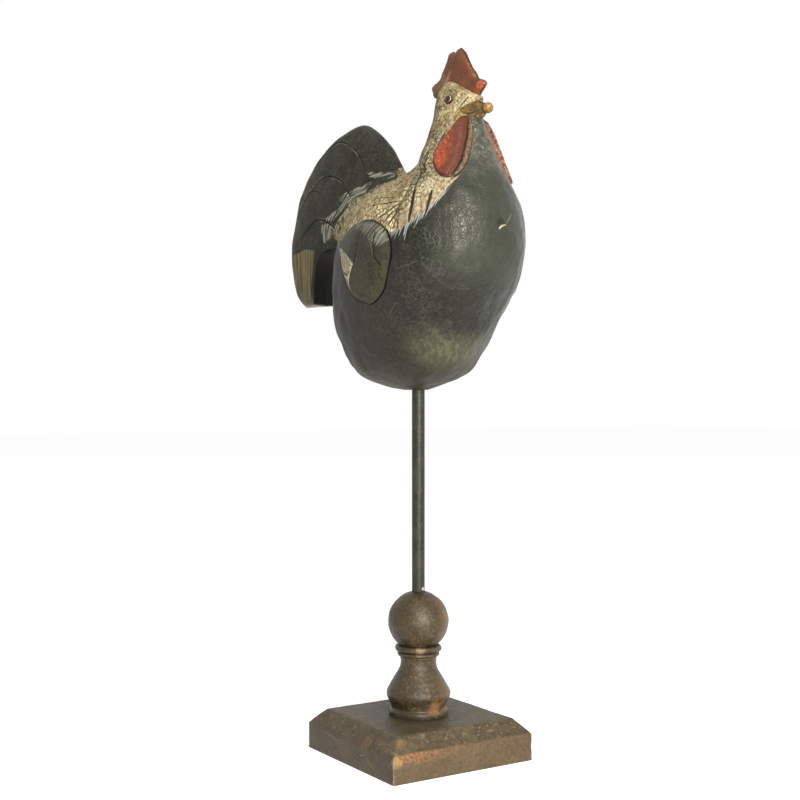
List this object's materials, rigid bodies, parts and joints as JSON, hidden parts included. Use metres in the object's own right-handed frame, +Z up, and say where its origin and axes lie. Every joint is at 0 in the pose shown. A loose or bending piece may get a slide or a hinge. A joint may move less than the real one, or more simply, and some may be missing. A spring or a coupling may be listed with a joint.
{
  "type": "rooster figurine",
  "caption": "Carved and painted wooden rooster with an arched tail, standing on a tall steel rod that rises from a turned post on a square chamfered plinth.",
  "frame": {"origin": "middle of the plinth's underside, on the surface that the object stands on", "axes": "+Z up along the rod and the turned post; the plinth's sides lie along X and Y; the rooster faces -Y, turned 6.5 degrees about +Z on its rod, and its right side is towards -X"},
  "size_m": [0.1244, 0.2442, 0.511],
  "materials": {
    "stand_paint": "dark brown paint, worn to rusty wood on its edges",
    "screw_steel": "plain",
    "rod_steel": "satin dark grey",
    "dark_paint": "dark green-black crackled paint, waxed",
    "cream_paint": "aged cream crackled paint",
    "dowel_wood": "bare beech",
    "comb_paint": "worn brick-red paint",
    "beak_paint": "worn ochre paint",
    "wattle_paint": "worn orange-red paint",
    "eye_glaze": "dark gloss varnish"
  },
  "bodies": {
    "stand": {"plinth": "stand_paint", "turned_post": "stand_paint", "post_screw": "screw_steel"},
    "rod": {"support_rod": "rod_steel"},
    "figure": {"body": "dark_paint", "head_neck": "cream_paint", "neck_dowel": "dowel_wood", "tail": "dark_paint", "tail_dowels": "dowel_wood", "comb": "comb_paint", "beak": "beak_paint", "wattle_right": "wattle_paint", "wattle_left": "wattle_paint", "eye_right": "eye_glaze", "eye_left": "eye_glaze", "wing_right": "dark_paint", "wing_left": "dark_paint"}
  },
  "joints": [
    {"name": "rod_lift", "type": "slide", "parent": "stand", "child": "rod", "axis": [0, 0, 1], "range_m": [0, 0.04]},
    {"name": "figure_swivel", "type": "hinge", "parent": "rod", "child": "figure", "pos_m": [0, 0, 0.2685], "axis": [0, 0, 1], "continuous": true}
  ]
}
